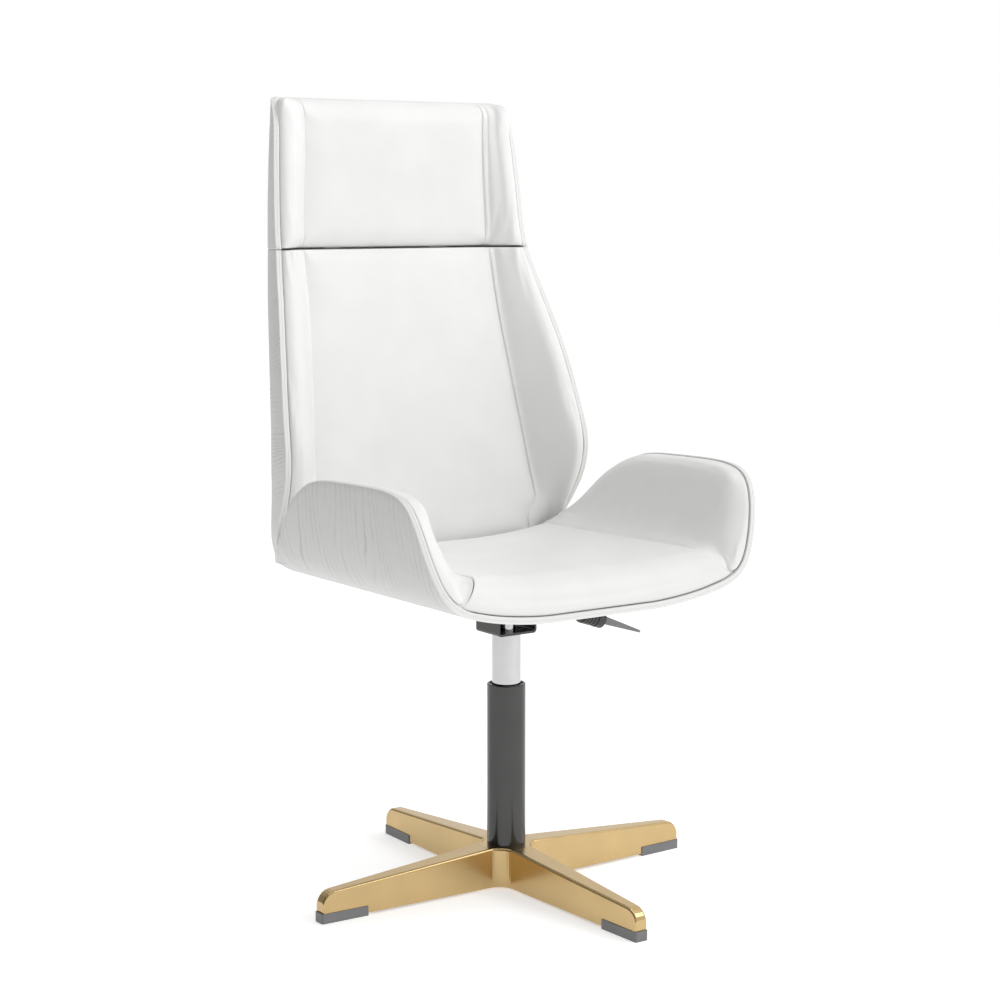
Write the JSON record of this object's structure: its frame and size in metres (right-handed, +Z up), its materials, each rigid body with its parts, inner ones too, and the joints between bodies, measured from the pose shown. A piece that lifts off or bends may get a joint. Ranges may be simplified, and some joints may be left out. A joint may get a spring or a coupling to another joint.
{
  "type": "swivel office chair",
  "caption": "High-backed swivel office chair: bent-plywood seat and back shells with white padded inserts, gas-lift column and a low cross-shaped metal base with grey foot caps.",
  "frame": {"origin": "on the column axis at floor level", "axes": "+Z up, the sitter faces -Y, the sitter's left hand is on +X"},
  "size_m": [0.68, 0.6946, 1.222],
  "materials": {
    "gold_metal": "satin",
    "gunmetal": "gloss",
    "chrome": "polished",
    "steel": "satin",
    "grey_plastic": "matte",
    "black_plastic": "matte",
    "black_rubber": "matte",
    "white_veneer": "satin",
    "white_leather": "satin"
  },
  "bodies": {
    "base": {"star_base": "gold_metal", "foot_pad_front": "grey_plastic", "foot_pad_rear": "grey_plastic", "foot_pad_left": "grey_plastic", "foot_pad_right": "grey_plastic", "column_tube": "gunmetal", "column_screws": "steel", "guide_bush": "black_plastic", "bearing_washer_lower": "steel", "thrust_bearing": "steel"},
    "rod": {"bearing_washer_upper": "steel", "piston_rod": "chrome", "piston": "steel", "bump_stop": "black_rubber", "rod_washer": "steel", "retaining_clip": "steel"},
    "seat": {"lift_cylinder": "chrome", "rod_gland": "black_plastic", "cone_socket": "steel", "seat_bracket": "gunmetal", "seat_plate": "gunmetal", "seat_plate_screws": "steel", "seat_tee_nuts": "steel", "lever_pin": "steel", "seat_shell": "white_veneer", "seat_cushion": "white_leather", "arm_pad_left": "white_leather", "arm_pad_right": "white_leather", "back_strap_left": "gunmetal", "back_strap_right": "gunmetal", "seat_strap_screws": "steel", "back_strap_screws": "steel", "back_tee_nuts": "steel", "back_shell": "white_veneer", "back_cushion": "white_leather", "splice_plate_left": "steel", "splice_plate_right": "steel", "splice_screws": "steel", "headrest_shell": "white_veneer", "headrest_cushion": "white_leather"},
    "release_button": {"release_pin": "steel"},
    "lever": {"lever_rod": "gunmetal", "lever_grip": "grey_plastic", "lever_paddle": "grey_plastic"}
  },
  "joints": [
    {"name": "swivel", "type": "hinge", "parent": "base", "child": "rod", "pos_m": [0, 0, 0.078], "axis": [0, 0, 1], "continuous": true},
    {"name": "height", "type": "slide", "parent": "rod", "child": "seat", "axis": [0, 0, 1], "range_m": [-0.07, 0.01]},
    {"name": "lever_lift", "type": "hinge", "parent": "seat", "child": "lever", "pos_m": [0.026, 0, 0.451], "axis": [0, -1, 0], "range_deg": [0, 8], "stiffness_Nm_per_rad": 1},
    {"name": "button_press", "type": "slide", "parent": "seat", "child": "release_button", "axis": [0, 0, -1], "range_m": [0, 0.00375]}
  ],
  "couplings": [
    {"joint": "button_press", "follows": "lever_lift", "m_per_rad": 0.0265}
  ]
}
